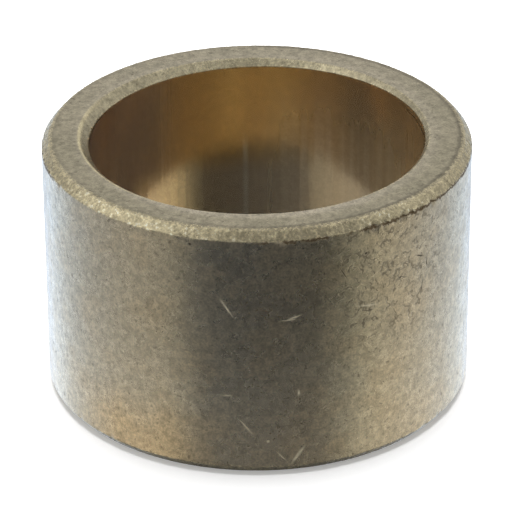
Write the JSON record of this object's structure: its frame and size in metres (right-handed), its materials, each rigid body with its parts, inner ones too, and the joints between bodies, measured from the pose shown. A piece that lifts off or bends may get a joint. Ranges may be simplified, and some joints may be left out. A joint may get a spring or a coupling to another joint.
{
  "type": "sleeve bushing",
  "caption": "Plain cylindrical sintered bronze sleeve bushing with chamfered edges, pressed into a housing so that a shaft can turn in its smooth bore.",
  "frame": {"origin": "centre of the lower end face, on the bore axis", "axes": "+Z along the bore axis, from the lower end face to the upper one; X and Y across the sleeve, which is the same all round"},
  "size_m": [0.032, 0.032, 0.02],
  "materials": {
    "bronze": "porous sintered bronze, satin outside, burnished in the bore"
  },
  "bodies": {
    "root": {"sleeve": "bronze"}
  },
  "joints": []
}
